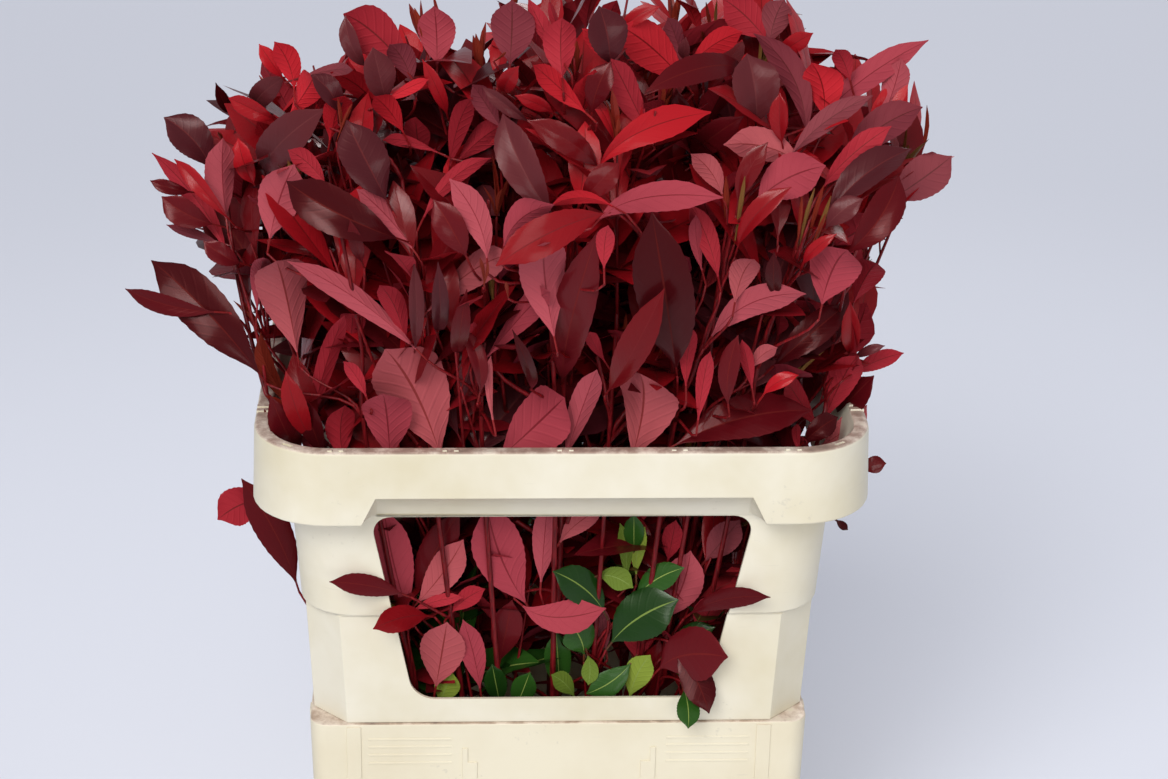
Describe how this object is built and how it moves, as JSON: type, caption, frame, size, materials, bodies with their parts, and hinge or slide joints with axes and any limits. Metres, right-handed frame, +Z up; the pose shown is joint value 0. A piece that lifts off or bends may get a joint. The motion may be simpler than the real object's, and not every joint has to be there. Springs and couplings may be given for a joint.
{
  "type": "photinia red robin stems in a display container",
  "caption": "Dense bunch of cut photinia red robin stems with glossy red leaves, standing in a tapered ivory bucket under a flared collar with four windows.",
  "frame": {"origin": "middle of the flat underside of the bucket, on the ground", "axes": "+Z up, +X to the right along the container's long side, -Y towards the front"},
  "size_m": [0.6214, 0.4619, 0.816],
  "materials": {
    "ivory_bucket_plastic": "moulded, satin, slightly scuffed",
    "ivory_collar_plastic": "moulded, satin, dirty and scuffed along the rim",
    "dark_red_stem_wood": "smooth dark red bark with leaf scars",
    "red_foliage": "glossy burgundy to bright red leaves with matte coral undersides"
  },
  "bodies": {
    "root": {"bucket": "ivory_bucket_plastic", "collar": "ivory_collar_plastic", "outer_stem_1": "dark_red_stem_wood", "outer_stem_2": "dark_red_stem_wood", "outer_stem_3": "dark_red_stem_wood", "outer_stem_4": "dark_red_stem_wood", "outer_stem_5": "dark_red_stem_wood", "outer_stem_6": "dark_red_stem_wood", "outer_stem_7": "dark_red_stem_wood", "outer_stem_8": "dark_red_stem_wood", "bough_1": "dark_red_stem_wood", "bough_2": "dark_red_stem_wood", "bough_3": "dark_red_stem_wood", "bough_4": "dark_red_stem_wood", "bough_5": "dark_red_stem_wood", "bough_6": "dark_red_stem_wood", "bough_7": "dark_red_stem_wood", "bough_8": "dark_red_stem_wood", "inner_stem_1": "dark_red_stem_wood", "inner_stem_2": "dark_red_stem_wood", "inner_stem_3": "dark_red_stem_wood", "inner_stem_4": "dark_red_stem_wood", "inner_stem_5": "dark_red_stem_wood", "inner_stem_6": "dark_red_stem_wood", "centre_stem": "dark_red_stem_wood", "collar_mass_1": "red_foliage", "collar_mass_2": "red_foliage", "collar_mass_3": "red_foliage", "collar_mass_4": "red_foliage", "skirt_mass_1": "red_foliage", "skirt_mass_2": "red_foliage", "skirt_mass_3": "red_foliage", "skirt_mass_4": "red_foliage", "skirt_mass_5": "red_foliage", "skirt_mass_6": "red_foliage", "skirt_mass_7": "red_foliage", "skirt_mass_8": "red_foliage", "middle_mass_1": "red_foliage", "middle_mass_2": "red_foliage", "middle_mass_3": "red_foliage", "middle_mass_4": "red_foliage", "middle_mass_5": "red_foliage", "middle_mass_6": "red_foliage", "middle_mass_7": "red_foliage", "middle_mass_8": "red_foliage", "top_mass_1": "red_foliage", "top_mass_2": "red_foliage", "top_mass_3": "red_foliage", "top_mass_4": "red_foliage", "top_mass_5": "red_foliage", "top_mass_6": "red_foliage", "inner_mass_1": "red_foliage", "inner_mass_2": "red_foliage", "crown_top_mass": "red_foliage"}
  },
  "joints": []
}
